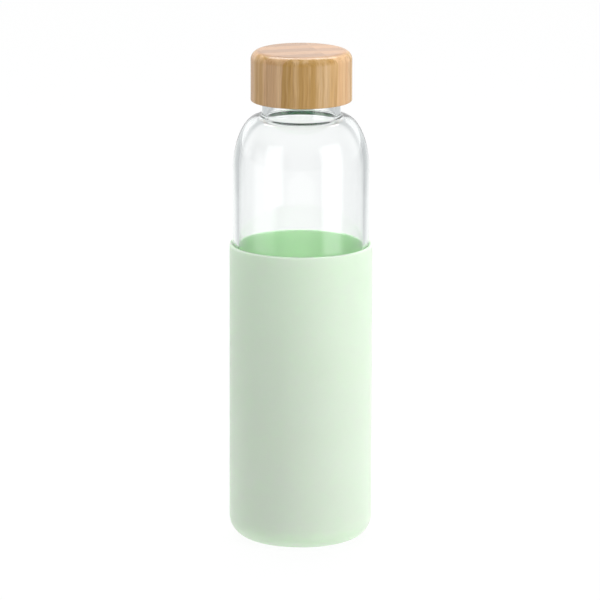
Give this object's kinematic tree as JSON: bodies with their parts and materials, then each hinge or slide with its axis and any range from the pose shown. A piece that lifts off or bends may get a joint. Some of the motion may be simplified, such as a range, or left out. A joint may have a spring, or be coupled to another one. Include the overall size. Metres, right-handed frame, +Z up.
{
  "type": "glass water bottle",
  "caption": "Slim clear glass water bottle with a domed shoulder, a soft silicone sleeve over its lower part and a turned bamboo screw lid with a threaded plastic liner and a seal ring.",
  "frame": {"origin": "centre of the foot, on the surface that the bottle stands on", "axes": "+Z up along the bottle's axis; -Y towards the viewer, with the lid's wide right-hand block towards +X"},
  "size_m": [0.065, 0.065, 0.226],
  "materials": {
    "sleeve_silicone": "moulded silicone, matt, pale mint",
    "clear_glass": "clear, smooth",
    "seal_silicone": "moulded silicone, translucent white",
    "liner_plastic": "moulded polypropylene, natural white",
    "bamboo": "turned laminated bamboo, oiled, satin"
  },
  "bodies": {
    "sleeve": {"silicone_sleeve": "sleeve_silicone"},
    "bottle": {"glass_body": "clear_glass"},
    "seal": {"seal_ring": "seal_silicone"},
    "lid": {"threaded_liner": "liner_plastic", "bamboo_block_left": "bamboo", "bamboo_block_middle": "bamboo", "bamboo_block_right": "bamboo"}
  },
  "joints": [
    {"name": "bottle_pull_out", "type": "slide", "parent": "sleeve", "child": "bottle", "axis": [0, 0, 1], "range_m": [0, 0.15]},
    {"name": "lid_lift", "type": "slide", "parent": "bottle", "child": "seal", "axis": [0, 0, 1], "range_m": [0, 0.0211]},
    {"name": "lid_twist", "type": "hinge", "parent": "seal", "child": "lid", "pos_m": [0, 0, 0.2], "axis": [0, 0, 1], "range_deg": [0, 1800]}
  ],
  "couplings": [
    {"joint": "lid_lift", "follows": "lid_twist", "m_per_rad": 0.00066845}
  ]
}
